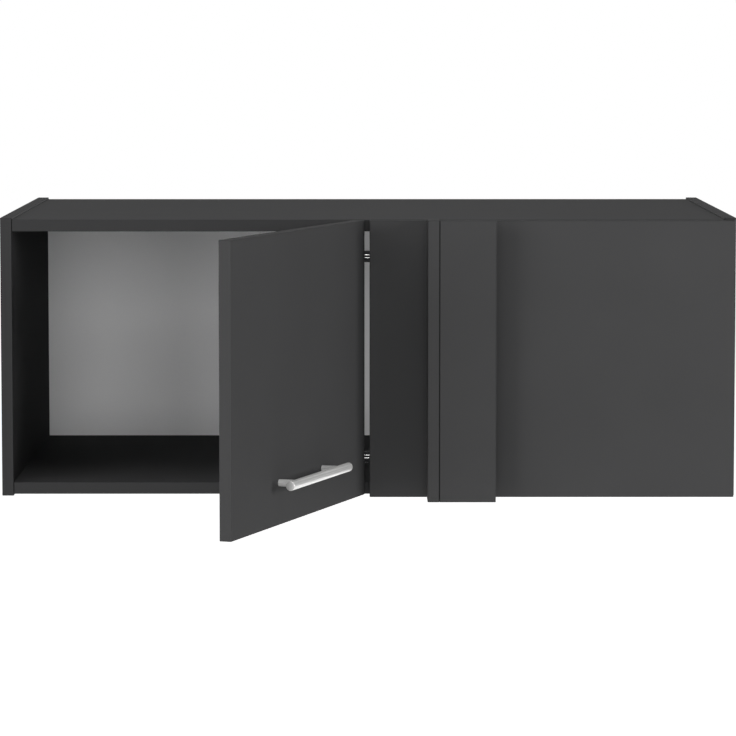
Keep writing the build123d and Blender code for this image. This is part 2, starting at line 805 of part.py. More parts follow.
def hinge_plate(height):
    """The mounting plate on the back of the fixed front, with the saddle the arm sits over."""
    start = fixed_edge + plate_start
    with BuildPart() as plate:
        slab(carcase, (start, 0, height - plate_half_height),
             (start + plate_length, plate_thickness, height + plate_half_height))
        fillet(plate.edges().filter_by(Axis.Y), plate_thickness * 2)
        slab(carcase, (start, plate_thickness, height - saddle_half),
             (start + plate_length, saddle_height, height + saddle_half))
        for spot in plate_screw_spots(height):
            round_bar(spot, -back, short_screw_radius + hardware_play, plate_thickness,
                      Mode.SUBTRACT)
        for place in arm_screw_places:
            screw_hole(at(carcase, start + place, saddle_height, height), -back,
                       arm_screw_radius, saddle_height - plate_thickness)
    return plate.part


def short_link(height):
    """The bowed link that carries the door, from the arm's pin to the cup's."""
    bow = Vector(short_length / 2, -short_link_bow, 0)
    with BuildPart() as link:
        with BuildSketch(short_frame.offset(height - short_link_half)) as outline:
            with BuildLine():
                outer = ThreePointArc((0, -link_half_width), (bow.X, bow.Y - link_half_width),
                                      (short_length, -link_half_width))
                inner = ThreePointArc((0, link_half_width), (bow.X, bow.Y + link_half_width),
                                      (short_length, link_half_width))
                Line(outer @ 0, inner @ 0)
                Line(outer @ 1, inner @ 1)
            make_face()
            with Locations((0, 0), (short_length, 0)):
                Circle(link_eye)
            with Locations((0, 0), (short_length, 0)):
                Circle(pin_radius + pin_fit, mode=Mode.SUBTRACT)
        extrude(outline.sketch, amount=2 * short_link_half)
    return link.part


def long_link(height):
    """The fork that guides the door: a barrel on the arm's pin and an open hook in the cup."""
    hook_left = long_link_length - hook_half_width
    hook_right = long_link_length + hook_half_width
    with BuildPart() as link:
        for side in (-1, 1):
            low = height + min(side * fork_inner, side * fork_outer)
            with BuildSketch(long_frame.offset(low)) as cheek:
                Circle(link_eye)
                with Locations((long_link_length / 2, 0)):
                    Rectangle(long_link_length, 2 * link_half_width)
                with Locations((long_link_length, (hook_low + hook_high) / 2)):
                    RectangleRounded(2 * hook_half_width, hook_high - hook_low, hook_corner)
                with Locations((long_link_length, (slot_low + hook_high) / 2 + slot_half_width)):
                    SlotOverall(hook_high - slot_low + 2 * slot_half_width, 2 * slot_half_width,
                                rotation=90, mode=Mode.SUBTRACT)
            extrude(cheek.sketch, amount=fork_outer - fork_inner)
        round_bar(at(long_frame, 0, 0, height - fork_inner), up, fork_barrel, 2 * fork_inner)
        round_bar(at(long_frame, 0, 0, height - fork_outer), up, pin_radius + pin_fit,
                  2 * fork_outer, Mode.SUBTRACT)
    return link.part


def closing_spring(height):
    """A bent wire that lies along the arm's web: two legs and the loop that joins them."""
    wire_line = arm_web_low - spring_wire_radius
    start = short_arm.X + spring_start
    end = fixed_edge + spring_end
    with BuildPart() as spring:
        with BuildLine(Plane(origin=at(carcase, 0, wire_line, height), x_dir=right,
                             z_dir=-back)) as path:
            upper = Line((start, spring_half_spacing), (end, spring_half_spacing))
            lower = Line((end, -spring_half_spacing), (start, -spring_half_spacing))
            ThreePointArc(upper @ 1, (end + spring_half_spacing, 0), lower @ 0)
        with BuildSketch(Plane(origin=at(carcase, start, wire_line,
                                         height + spring_half_spacing), z_dir=right)):
            Circle(spring_wire_radius)
        sweep(path=path.wire())
    return spring.part


for place, height in hinge_heights.items():
    save(hinge_cup(height), f"{place}_hinge_cup")
    save(hinge_arm(height), f"{place}_hinge_arm")
    save(hinge_plate(height), f"{place}_hinge_plate")
    save(short_link(height), f"{place}_short_link")
    save(long_link(height), f"{place}_long_link")
    save(closing_spring(height), f"{place}_closing_spring")

save_group([upright_pin(carcase, pin.X, pin.Y, height - wall_outer, height + wall_outer)
            for height in hinge_heights.values() for pin in (short_arm, long_arm)], "arm_pins")
save_group([upright_pin(door, short_cup.X, short_cup.Y, height - wall_outer, height + wall_outer)
            for height in hinge_heights.values()], "cup_pins")
save_group([upright_pin(door, long_cup.X, long_cup.Y, height + low, height + high)
            for height in hinge_heights.values()
            for low, high in ((-wall_outer, -fork_inner), (fork_inner, wall_outer))],
           "cup_stub_pins")
save_group([screw(spot, -door.y_dir, short_screw_radius, cup_screw_length, short_screw_head,
                  cup_flange_thickness, True)
            for height in hinge_heights.values() for spot in cup_screw_spots(height)],
           "cup_screws")
save_group([screw(spot, -back, short_screw_radius, short_screw_length, short_screw_head,
                  short_screw_head_height, False)
            for height in hinge_heights.values() for spot in plate_screw_spots(height)],
           "plate_screws")
save_group([screw(at(carcase, fixed_edge + plate_start + place,
                     arm_web_low + arm_web_thickness, height), -back, arm_screw_radius,
                  arm_web_low + arm_web_thickness - plate_thickness - 3 * thread_play,
                  arm_screw_head, arm_screw_head_height, False)
            for height in hinge_heights.values() for place in arm_screw_places], "arm_screws")

# Joint places in the part's own coordinates, with the links' turn for one degree of the
# door joint, which turns the door against the short links.
door_against_link = 1 - short_turn
print("short link pin", at(carcase, short_arm.X, short_arm.Y, 0))
print("door pin", at(carcase, short_cup_open.X, short_cup_open.Y, 0))
print("long link pin", at(carcase, long_arm.X, long_arm.Y, 0))
print("door joint range", -rest_angle * door_against_link,
      (full_angle - rest_angle) * door_against_link)
print("short link ratio", short_turn / door_against_link)
print("long link ratio", long_turn / door_against_link)
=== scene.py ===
import math
import bpy
import numpy as np
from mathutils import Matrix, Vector


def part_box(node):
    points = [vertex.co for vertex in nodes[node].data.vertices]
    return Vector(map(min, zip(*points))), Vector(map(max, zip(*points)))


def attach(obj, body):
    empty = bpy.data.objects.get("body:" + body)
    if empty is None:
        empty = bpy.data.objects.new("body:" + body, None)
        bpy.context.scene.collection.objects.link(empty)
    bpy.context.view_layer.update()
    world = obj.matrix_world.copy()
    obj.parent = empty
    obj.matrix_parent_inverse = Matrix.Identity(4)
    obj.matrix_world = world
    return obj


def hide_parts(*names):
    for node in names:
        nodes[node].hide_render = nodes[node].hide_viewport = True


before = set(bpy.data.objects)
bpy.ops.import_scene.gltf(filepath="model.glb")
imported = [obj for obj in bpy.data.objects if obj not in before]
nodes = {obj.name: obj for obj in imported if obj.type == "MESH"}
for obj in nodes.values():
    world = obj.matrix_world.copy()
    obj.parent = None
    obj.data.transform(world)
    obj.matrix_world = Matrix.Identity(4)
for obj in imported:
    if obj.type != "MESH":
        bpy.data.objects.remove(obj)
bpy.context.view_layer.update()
print("frame loaded:", len(nodes), "pieces")

# Metres throughout: x to the right, y towards the wall, z up, from the middle of the wall fixings
sideLow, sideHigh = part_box("side_panel_left")
cabinet = {
    "frontPlane": sideLow[1],
    "underside": sideLow[2],
    "topOfSides": sideHigh[2],
    "topOfTop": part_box("top_panel")[1][2],
    "insideSide": abs(sideHigh[0]),         # from the middle to a side's inner face
    "backOfPanel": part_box("back_panel")[1][1],
    "stripJoint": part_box("filler_fixing_strip")[0][0],      # where the filler's two strips meet
}
door = {
    "opening": 70.5,                        # degrees, as the door is stored
    "width": 0.496,
}


def middleOf(name):
    low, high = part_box(name)
    return (low + high) / 2


def spansOf(name):
    # A board from left to right and from bottom to top
    low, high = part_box(name)
    return (low[0], high[0]), (low[2], high[2])


# From here to bumped: the nodes that every material is put together from
def startMaterial(name):
    material = bpy.data.materials.new(name)
    material.use_nodes = True
    tree = material.node_tree
    place = tree.nodes.new("ShaderNodeTexCoord").outputs["Object"]
    return material, tree, tree.nodes["Principled BSDF"], place


def feed(tree, socket, value):
    if isinstance(value, bpy.types.NodeSocket):
        tree.links.new(value, socket)
    elif socket.type == "RGBA":
        socket.default_value = (*value, 1)
    else:
        socket.default_value = value


def maths(tree, operation, first, second=0.0, third=0.0):
    node = tree.nodes.new("ShaderNodeMath")
    node.operation = operation
    for socket, value in zip(node.inputs, (first, second, third)):
        feed(tree, socket, value)
    return node.outputs[0]


def rangeOf(tree, value, low, high, toLow=0.0, toHigh=1.0):
    # Smooth step from toLow to toHigh while the value goes from low to high
    node = tree.nodes.new("ShaderNodeMapRange")
    node.interpolation_type = "SMOOTHSTEP"
    for socket, given in zip(node.inputs, (value, low, high, toLow, toHigh)):
        feed(tree, socket, given)
    return node.outputs[0]


def inBand(tree, value, low, high, soft):
    # 1 where a coordinate lies between two values, 0 outside
    rises = rangeOf(tree, value, low - soft, low + soft)
    falls = rangeOf(tree, value, high - soft, high + soft, 1.0, 0.0)
    return maths(tree, "MULTIPLY", rises, falls)


def around(tree, pattern, middle, reach):
    # A pattern from 0 to 1 becomes a value from middle - reach to middle + reach
    return maths(tree, "MULTIPLY_ADD", pattern, 2 * reach, middle - reach)


def fromMiddle(tree, coordinate, low, high):
    # Distance from the middle of a board, and half the board
    away = maths(tree, "SUBTRACT", coordinate, (low + high) / 2)
    return maths(tree, "ABSOLUTE", away), (high - low) / 2


def mixed(tree, share, first, second):
    # The first colour at a share of 0, the second at 1
    node = tree.nodes.new("ShaderNodeMix")
    node.data_type = "RGBA"
    factor, firstColour, secondColour = node.inputs[0], node.inputs[6], node.inputs[7]
    feed(tree, factor, share)
    feed(tree, firstColour, first)
    feed(tree, secondColour, second)
    return node.outputs[2]


def toned(tint, factor):
    return tuple(factor * part for part in tint)


def dimmed(tree, tint, level):
    node = tree.nodes.new("ShaderNodeVectorMath")
    node.operation = "SCALE"
    node.inputs[0].default_value = tint
    tree.links.new(level, node.inputs["Scale"])
    return node.outputs[0]


def scaled(tree, place, scale, turn=0.0, start=(0, 0, 0)):
    # The object coordinates from a start, turned about z and stretched
    node = tree.nodes.new("ShaderNodeMapping")
    node.vector_type = "TEXTURE"
    node.inputs["Location"].default_value = start
    node.inputs["Rotation"].default_value = (0, 0, math.radians(turn))
    node.inputs["Scale"].default_value = scale
    tree.links.new(place, node.inputs["Vector"])
    return node.outputs[0]


def noise(tree, place, scale, detail, roughness):
    node = tree.nodes.new("ShaderNodeTexNoise")
    tree.links.new(place, node.inputs["Vector"])
    node.inputs["Scale"].default_value = scale
    node.inputs["Detail"].default_value = detail
    node.inputs["Roughness"].default_value = roughness
    return node.outputs["Fac"]


def cells(tree, place, scale):
    # Distance from the middle of the nearest cell
    node = tree.nodes.new("ShaderNodeTexVoronoi")
    tree.links.new(place, node.inputs["Vector"])
    node.inputs["Scale"].default_value = scale
    return node.outputs["Distance"]


def split(tree, place):
    node = tree.nodes.new("ShaderNodeSeparateXYZ")
    tree.links.new(place, node.inputs[0])
    return node.outputs


def bumped(tree, shader, height, depth, strength):
    node = tree.nodes.new("ShaderNodeBump")
    node.inputs["Strength"].default_value = strength
    node.inputs["Distance"].default_value = depth
    tree.links.new(height, node.inputs["Height"])
    tree.links.new(node.outputs[0], shader.inputs["Normal"])


# A reach is how far a value strays from its middle, a share how much a line hides of its
# board, and a fade or a soft value how far an edge of a colour runs out
boards = {
    "face": (0.0396, 0.0396, 0.0403),       # the printed grey of the fronts
    "levelEdgeShade": (0.014, 0.014, 0.0144),    # the band on a front's upper and lower edges, darkened as painted shade
    "carcase": (0.0300, 0.0300, 0.0306),
    "frontEdge": (0.0290, 0.0290, 0.0296),  # the band on the carcase's front edges
    "step": (0.085, 0.085, 0.086),          # painted light on the sides' inner faces above the top board
    "seam": (0.010, 0.010, 0.0105),         # between a board's face and its band
    "joint": (0.0015, 0.0015, 0.0015),      # painted shade in the joint between two boards
    "frontRoughness": 0.60,
    "carcaseRoughness": 0.72,
    "glossReach": 0.05,
    "sheen": 0.02,
    "pearlSize": 0.0011,
    "pearlReach": 0.10,
    "pearlDepth": 0.000035,
    "pearlStrength": 0.6,
    "cloudSize": 0.11,
    "cloudReach": 0.06,
    "bandThickness": 0.0009,
    "bandFade": 0.0002,
    "edgeInset": 0.0001,
    "seamWidth": 0.00028,
    "seamSoft": 0.00006,
    "frontSeamShare": 0.55,
    "carcaseSeamShare": 0.60,
    "jointShadeHalf": 0.0006,                    # half of its width
    "stripJointShadeSoft": 0.00015,
    "stripJointShadeShare": 0.92,
    "cornerJointShadeSoft": 0.0001,
    "cornerJointShadeShare": 0.85,
    "stepInset": 0.0003,
    "stepSoft": 0.0001,
    "stepFade": 0.0002,
    "sawnDepth": 0.0005,
    "sawnSoft": 0.00005,
}
particleBoard = {
    "pale": (0.47, 0.33, 0.19),
    "dark": (0.26, 0.165, 0.085),
    "pore": (0.10, 0.062, 0.032),
    "flakesPerMetre": 620,
    "flakeHeight": 0.55,                    # of the flakes' width
    "poresPerMetre": 900,
    "poresFrom": 0.52,
    "poresFull": 0.66,
}


def melamine(tree, shader, place, tint, roughness):
    # Printed melamine: a fine pearl grain, faint clouds and a dull gloss that varies with the grain
    pearl = noise(tree, place, 1 / boards["pearlSize"], detail=2.0, roughness=0.6)
    cloud = noise(tree, place, 1 / boards["cloudSize"], detail=2.0, roughness=0.5)
    level = maths(tree, "MULTIPLY", around(tree, pearl, 1.0, boards["pearlReach"]),
                  around(tree, cloud, 1.0, boards["cloudReach"]))
    tree.links.new(around(tree, pearl, roughness, boards["glossReach"]), shader.inputs["Roughness"])
    shader.inputs["Specular IOR Level"].default_value = boards["sheen"]
    bumped(tree, shader, pearl, boards["pearlDepth"], boards["pearlStrength"])
    return dimmed(tree, tint, level)


def sawnBoard(tree, place):
    # Sawn particle board: pale and dark flakes with pores between them
    flakes = cells(tree, scaled(tree, place, (1.0, 1.0, particleBoard["flakeHeight"])),
                   particleBoard["flakesPerMetre"])
    pores = noise(tree, place, particleBoard["poresPerMetre"], detail=4.0, roughness=0.7)
    flaked = mixed(tree, flakes, particleBoard["pale"], particleBoard["dark"])
    inPore = rangeOf(tree, pores, particleBoard["poresFrom"], particleBoard["poresFull"])
    return mixed(tree, inPore, flaked, particleBoard["pore"])


def lined(tree, colour, line, share, lineColour):
    # A line drawn over a colour, which shows through it by what the share leaves
    return mixed(tree, maths(tree, "MULTIPLY", line, share), colour, lineColour)


def edgeSeam(tree, away, half):
    # The fine line between a board's face and the band round its edge
    bandEnd = half - boards["bandThickness"]
    return inBand(tree, away, bandEnd - boards["seamWidth"], bandEnd, boards["seamSoft"])


def frontBoard(name, spanX, spanZ, turn=0.0, start=(0, 0, 0), joint=None):
    # A front banded on all four edges, its upper and lower bands darkened as painted shade.  The joint is
    # the x where the next board lies against it, where a painted shade line runs
    material, tree, shader, place = startMaterial(name)
    colour = melamine(tree, shader, place, boards["face"], boards["frontRoughness"])
    x, y, z = split(tree, scaled(tree, place, (1, 1, 1), turn, start))
    awayX, halfX = fromMiddle(tree, x, *spanX)
    awayZ, halfZ = fromMiddle(tree, z, *spanZ)
    seam = maths(tree, "MAXIMUM", edgeSeam(tree, awayX, halfX), edgeSeam(tree, awayZ, halfZ))
    colour = lined(tree, colour, seam, boards["frontSeamShare"], boards["seam"])
    # Painted shade: the upper and lower edge bands are darkened well below the face's grey
    edge = halfZ - boards["edgeInset"]
    onShadedLevelEdge = rangeOf(tree, awayZ, edge - boards["bandFade"], edge)
    colour = mixed(tree, onShadedLevelEdge, colour, boards["levelEdgeShade"])
    # Painted shade: a near-black line in the joint between the filler's two strips
    if joint is not None:
        jointShadeMask = inBand(tree, x, joint - boards["jointShadeHalf"], joint + boards["jointShadeHalf"],
                     boards["stripJointShadeSoft"])
        colour = lined(tree, colour, jointShadeMask, boards["stripJointShadeShare"], boards["joint"])
    tree.links.new(colour, shader.inputs["Base Color"])
    return material


def carcaseBoard(name):
    # Banded at the front, with painted shade in the joint where side and level boards meet, painted
    # light on the step above the top board and a sawn edge at the wall
    material, tree, shader, place = startMaterial(name)
    colour = melamine(tree, shader, place, boards["carcase"], boards["carcaseRoughness"])
    x, y, z = split(tree, place)
    awayX = maths(tree, "ABSOLUTE", x)
    inside = cabinet["insideSide"]
    bandEnd = cabinet["frontPlane"] + boards["bandThickness"]
    onBand = rangeOf(tree, y, bandEnd - boards["bandFade"], bandEnd, 1.0, 0.0)
    colour = mixed(tree, onBand, colour, boards["frontEdge"])
    seam = inBand(tree, y, bandEnd, bandEnd + boards["seamWidth"], boards["seamSoft"])
    colour = lined(tree, colour, seam, boards["carcaseSeamShare"], boards["seam"])
    # Painted shade: a near-black line in the joint where a side meets the level boards
    jointShadeMask = inBand(tree, awayX, inside - boards["jointShadeHalf"], inside + boards["jointShadeHalf"],
                 boards["cornerJointShadeSoft"])
    jointShadeMask = maths(tree, "MULTIPLY", jointShadeMask, onBand)
    colour = lined(tree, colour, jointShadeMask, boards["cornerJointShadeShare"], boards["joint"])
    # Painted light: the narrow step faces above the top board are lightened out of their shade
    onLitStep = inBand(tree, z, cabinet["topOfTop"] + boards["stepInset"],
                    cabinet["topOfSides"] - boards["stepInset"], boards["stepSoft"])
    onInnerFace = rangeOf(tree, awayX, inside + boards["stepFade"], inside + 2 * boards["stepFade"],
                          1.0, 0.0)
    onLitStep = maths(tree, "MULTIPLY", onLitStep, onInnerFace)
    onLitStep = maths(tree, "MULTIPLY", onLitStep, maths(tree, "SUBTRACT", 1.0, onBand))
    colour = mixed(tree, onLitStep, colour, boards["step"])
    atWall = rangeOf(tree, y, -boards["sawnDepth"] - boards["sawnSoft"],
                     -boards["sawnDepth"] + boards["sawnSoft"])
    colour = mixed(tree, atWall, colour, sawnBoard(tree, place))
    tree.links.new(colour, shader.inputs["Base Color"])
    return material


backBoard = {
    "paint": (0.85, 0.85, 0.854),
    "rawDark": (0.22, 0.135, 0.07),
    "rawPale": (0.34, 0.22, 0.12),
    "fibresPerMetre": 750,
    "fibreHeight": 0.35,                    # of the fibres' width
    "fibreReach": 0.08,
    "cloudsPerMetre": 7,
    "cloudReach": 0.04,
    "roughness": 0.62,
    "sheen": 0.35,
    "fibreDepth": 0.00004,
    "fibreStrength": 0.5,
    "rawDepth": 0.0008,                     # unpainted, from the rear face inwards
    "rawSoft": 0.0002,
}


def backBoardPaint(name):
    # Thin fibreboard, painted pale on the inside: faint fibres and a dull sheen
    material, tree, shader, place = startMaterial(name)
    fibres = noise(tree, scaled(tree, place, (1.0, 1.0, backBoard["fibreHeight"])),
                   backBoard["fibresPerMetre"], detail=4.0, roughness=0.65)
    cloud = noise(tree, place, backBoard["cloudsPerMetre"], detail=3.0, roughness=0.5)
    level = maths(tree, "MULTIPLY", around(tree, fibres, 1.0, backBoard["fibreReach"]),
                  around(tree, cloud, 1.0, backBoard["cloudReach"]))
    raw = mixed(tree, fibres, backBoard["rawDark"], backBoard["rawPale"])
    rawFrom = cabinet["backOfPanel"] - backBoard["rawDepth"]
    atRear = rangeOf(tree, split(tree, place)[1], rawFrom - backBoard["rawSoft"],
                     rawFrom + backBoard["rawSoft"])
    tree.links.new(mixed(tree, atRear, dimmed(tree, backBoard["paint"], level), raw),
                   shader.inputs["Base Color"])
    shader.inputs["Roughness"].default_value = backBoard["roughness"]
    shader.inputs["Specular IOR Level"].default_value = backBoard["sheen"]
    bumped(tree, shader, fibres, backBoard["fibreDepth"], backBoard["fibreStrength"])
    return material


doorMiddle = middleOf("door_panel")
doorSpanX = (-door["width"] / 2, door["width"] / 2)     # along the open door, from its middle
doorFinish = frontBoard("doorMelamine", doorSpanX, spansOf("door_panel")[1], door["opening"],
                        (doorMiddle[0], doorMiddle[1], 0))
fixedFinish = frontBoard("fixedFrontMelamine", *spansOf("fixed_front_panel"))
returnFinish = frontBoard("returnStripMelamine", *spansOf("filler_return_strip"),
                          joint=cabinet["stripJoint"])
fixingFinish = frontBoard("fixingStripMelamine", *spansOf("filler_fixing_strip"),
                          joint=cabinet["stripJoint"])
carcaseFinish = carcaseBoard("carcaseMelamine")
backFinish = backBoardPaint("backBoardPaint")
print("board finishes made")

groundSteel = {
    "colour": (0.70, 0.697, 0.69),
    "darkLine": 0.30,                       # of the colour
    "lightLine": 1.38,
    # painted shade on the bar's end faces, as a share of the colour
    "endShadeTone": 0.50,
    "endShadeFade": 0.0004,
    "metal": 0.40,
    "roughness": 0.34,
    "glossReach": 0.05,
    "lineSize": (0.30, 0.0030, 0.0030),     # along the bar, across it, up
    "smearSize": (0.03, 0.006, 0.006),
    "lineDepth": 0.0002,
    "lineStrength": 0.8,
}


def satinSteel(name, turn, middle=None, half=None):
    # Ground stainless steel: fine lines along it and an uneven gloss.  A piece given a half length gets
    # painted shade on its end faces, half that length from its middle
    material, tree, shader, place = startMaterial(name)
    lines = noise(tree, scaled(tree, place, groundSteel["lineSize"], turn),
                  scale=1.0, detail=3.0, roughness=0.6)
    smear = noise(tree, scaled(tree, place, groundSteel["smearSize"], turn),
                  scale=1.0, detail=2.0, roughness=0.5)
    tint = groundSteel["colour"]
    colour = mixed(tree, lines, toned(tint, groundSteel["darkLine"]),
                   toned(tint, groundSteel["lightLine"]))
    # Painted shade: the end faces are darkened to a share of the colour
    if half is not None:
        along = split(tree, scaled(tree, place, (1, 1, 1), turn, middle))[0]
        shadedEnd = rangeOf(tree, maths(tree, "ABSOLUTE", along), half - groundSteel["endShadeFade"], half)
        colour = mixed(tree, shadedEnd, colour, toned(tint, groundSteel["endShadeTone"]))
    tree.links.new(colour, shader.inputs["Base Color"])
    gloss = around(tree, smear, groundSteel["roughness"], groundSteel["glossReach"])
    tree.links.new(gloss, shader.inputs["Roughness"])
    shader.inputs["Metallic"].default_value = groundSteel["metal"]
    bumped(tree, shader, lines, groundSteel["lineDepth"], groundSteel["lineStrength"])
    return material


bar = {
    "length": 0.220,
    "radius": 0.006,
    "endRound": 0.0008,
    "straightShare": 0.9,                   # of the length, where the rings are evenly spaced
    "straightSteps": 19,
    "endSteps": 7,
    "aroundSteps": 96,
    "smoothTo": 35,                         # degrees between faces
}


def addSurface(name, points, body, finish):
    # A grid of points made a mesh, closed round in its second direction and capped at both ends
    rows, columns = points.shape[:2]
    index = np.arange(rows * columns).reshape(rows, columns)
    following = np.roll(index, -1, axis=1)
    quads = np.stack([index[:-1], following[:-1], following[1:], index[1:]], axis=-1)
    faces = quads.reshape(-1, 4).tolist() + [index[0, ::-1].tolist(), index[-1].tolist()]
    mesh = bpy.data.meshes.new(name)
    mesh.from_pydata(points.reshape(-1, 3).tolist(), [], faces)
    mesh.validate()
    mesh.shade_smooth()
    mesh.set_sharp_from_angle(angle=math.radians(bar["smoothTo"]))
    piece = bpy.data.objects.new(name, mesh)
    bpy.context.scene.collection.objects.link(piece)
    piece.data.materials.append(finish)
    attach(piece, body)
    return piece


def barSurface():
    # A round profile carried along the bar: each point is the point s along its axis plus the
    # radius there times (cos a, sin a).  At both ends the radius falls by a quarter circle
    turn = math.radians(door["opening"])
    along = np.array([math.cos(turn), math.sin(turn), 0.0])
    inward = np.array([-math.sin(turn), math.cos(turn), 0.0])
    up = np.array([0.0, 0.0, 1.0])
    half, radius, rounding = bar["length"] / 2, bar["radius"], bar["endRound"]
    quarter = np.linspace(math.pi / 2, 0, bar["endSteps"])
    endAlong = -half + rounding * (1 - np.sin(quarter))
    endRadius = radius - rounding * (1 - np.cos(quarter))
    straight = bar["straightShare"] * half
    s = np.concatenate([endAlong, np.linspace(-straight, straight, bar["straightSteps"]),
                        -endAlong[::-1]])
    r = np.concatenate([endRadius, np.full(bar["straightSteps"], radius), endRadius[::-1]])
    a = np.linspace(0, 2 * math.pi, bar["aroundSteps"], endpoint=False)
    across = np.cos(a)[:, None] * inward + np.sin(a)[:, None] * up
    return np.array(middleOf("handle_bar")) + s[:, None, None] * along + r[:, None, None] * across


barFinish = satinSteel("satinBarSteel", door["opening"], middleOf("handle_bar"), bar["length"] / 2)
postFinish = satinSteel("satinPostSteel", door["opening"] + 90)
barPiece = addSurface("groundHandleBar", barSurface(), "door", barFinish)
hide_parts("handle_bar")
print("handle bar turned")

# Mottles and grains are counted per metre
plated = {
    "nickel": {"colour": (0.011, 0.011, 0.0115), "roughness": 0.38, "metal": 1.0, "mottles": 420},
    "wire": {"colour": (0.86, 0.86, 0.85), "roughness": 0.25, "metal": 1.0, "mottles": 900},
    "zinc": {"colour": (0.34, 0.344, 0.352), "roughness": 0.50, "metal": 0.7, "mottles": 260},
    "darkMottle": 0.82,                     # of the colour
    "lightMottle": 1.15,
    "glossReach": 0.07,
    "grains": 2600,
    "grainDepth": 0.000012,
    "grainStrength": 0.4,
}


def platedSteel(name, kind):
    # Pressed steel with a plated skin: soft mottling and worn, brighter high spots
    material, tree, shader, place = startMaterial(name)
    metal = plated[kind]
    mottle = noise(tree, place, metal["mottles"], detail=3.0, roughness=0.6)
    grain = noise(tree, place, plated["grains"], detail=2.0, roughness=0.5)
    colour = mixed(tree, mottle, toned(metal["colour"], plated["darkMottle"]),
                   toned(metal["colour"], plated["lightMottle"]))
    tree.links.new(colour, shader.inputs["Base Color"])
    gloss = around(tree, mottle, metal["roughness"], plated["glossReach"])
    tree.links.new(gloss, shader.inputs["Roughness"])
    shader.inputs["Metallic"].default_value = metal["metal"]
    bumped(tree, shader, grain, plated["grainDepth"], plated["grainStrength"])
    return material


nickelFinish = platedSteel("darkNickel", "nickel")
wireFinish = platedSteel("springWire", "wire")
zincFinish = platedSteel("zincPlate", "zinc")
print("metal finishes made")

moulded = {
    "cap": {"colour": (0.12, 0.12, 0.122), "roughness": 0.50, "grains": 1800, "depth": 0.00002},
    "bumper": {"colour": (0.42, 0.42, 0.41), "roughness": 0.35, "grains": 900, "depth": 0.00001},
    "darkGrain": 0.88,                      # of the colour
    "lightGrain": 1.10,
    "glossReach": 0.06,
    "grainStrength": 0.5,
}
beech = {
    "pale": (0.66, 0.46, 0.27),
    "pore": (0.43, 0.27, 0.14),
    "grainSize": (0.02, 0.0012, 0.0012),    # along the dowels, across them, up
    "roughness": 0.70,
    "grainDepth": 0.0001,
    "grainStrength": 0.6,
}


def mouldedPlastic(name, kind):
    # Moulded plastic or rubber: a fine even grain in colour, gloss and height
    material, tree, shader, place = startMaterial(name)
    plastic = moulded[kind]
    grain = noise(tree, place, plastic["grains"], detail=3.0, roughness=0.6)
    colour = mixed(tree, grain, toned(plastic["colour"], moulded["darkGrain"]),
                   toned(plastic["colour"], moulded["lightGrain"]))
    tree.links.new(colour, shader.inputs["Base Color"])
    gloss = around(tree, grain, plastic["roughness"], moulded["glossReach"])
    tree.links.new(gloss, shader.inputs["Roughness"])
    bumped(tree, shader, grain, plastic["depth"], moulded["grainStrength"])
    return material


def beechDowel(name):
    # Grooved beech: long pale grain with darker pores
    material, tree, shader, place = startMaterial(name)
    grain = noise(tree, scaled(tree, place, beech["grainSize"]),
                  scale=1.0, detail=4.0, roughness=0.6)
    tree.links.new(mixed(tree, grain, beech["pale"], beech["pore"]), shader.inputs["Base Color"])
    shader.inputs["Roughness"].default_value = beech["roughness"]
    bumped(tree, shader, grain, beech["grainDepth"], beech["grainStrength"])
    return material


capFinish = mouldedPlastic("capPlastic", "cap")
bumperFinish = mouldedPlastic("bumperRubber", "bumper")
dowelFinish = beechDowel("beechWood")
print("small finishes made")

finishes = {
    "door_panel": doorFinish,
    "fixed_front_panel": fixedFinish,
    "filler_return_strip": returnFinish,
    "filler_fixing_strip": fixingFinish,
    "side_panel_left": carcaseFinish,
    "side_panel_right": carcaseFinish,
    "top_panel": carcaseFinish,
    "bottom_panel": carcaseFinish,
    "back_panel": backFinish,
    "handle_bar": barFinish,
    "handle_post_near": postFinish,
    "handle_post_far": postFinish,
    "upper_closing_spring": wireFinish,
    "lower_closing_spring": wireFinish,
    "access_caps": capFinish,
    "door_bumpers": bumperFinish,
    "dowels": dowelFinish,
}
darkPieces = ("hinge_cup", "hinge_arm", "hinge_plate", "short_link", "long_link",
              "arm_pins", "cup_pins", "cup_stub_pins", "cup_screws", "plate_screws", "arm_screws")


def finishOf(name):
    if name in finishes:
        return finishes[name]
    return nickelFinish if any(word in name for word in darkPieces) else zincFinish


for name, piece in nodes.items():
    for slot in piece.material_slots:
        slot.material = finishOf(name)
print("finishes on", len(nodes), "pieces")


studio = {
    "aim": (0, cabinet["frontPlane"], -0.13),       # what the lamps point at
    "floorBelow": 1.35,                     # a wall cabinet's underside above the floor
    "floorHalf": 30.0,
    "floorColour": (0.86, 0.86, 0.85),
    "floorMottle": 0.97,                    # of the colour
    "mottlesPerMetre": 3.0,
    "floorRoughness": 0.9,
    "floorSheen": 0.1,
    "floorGlow": 0.9,                       # what is added where the camera sees it
    "ambient": 0.15,
    "lamps": {                              # those behind lie below the top's plane
        "keyLamp": {"power": 270, "size": 4.0, "place": (-4.0, -5.1, 0.55)},
        "frontLamp": {"power": 106, "size": 2.4, "place": (-0.1, -6.2, 0.35)},
        "fillLamp": {"power": 205, "size": 2.0, "place": (5.0, -3.2, 0.6)},
        "topLamp": {"power": 55, "size": 2.0, "place": (0.2, -1.5, 3.0)},
        "rearLampLeft": {"power": 55, "size": 1.2, "place": (1.2, 4.8, -0.9)},
        "rearLampRight": {"power": 70, "size": 1.2, "place": (-4.2, 3.2, -0.9)},
    },
}


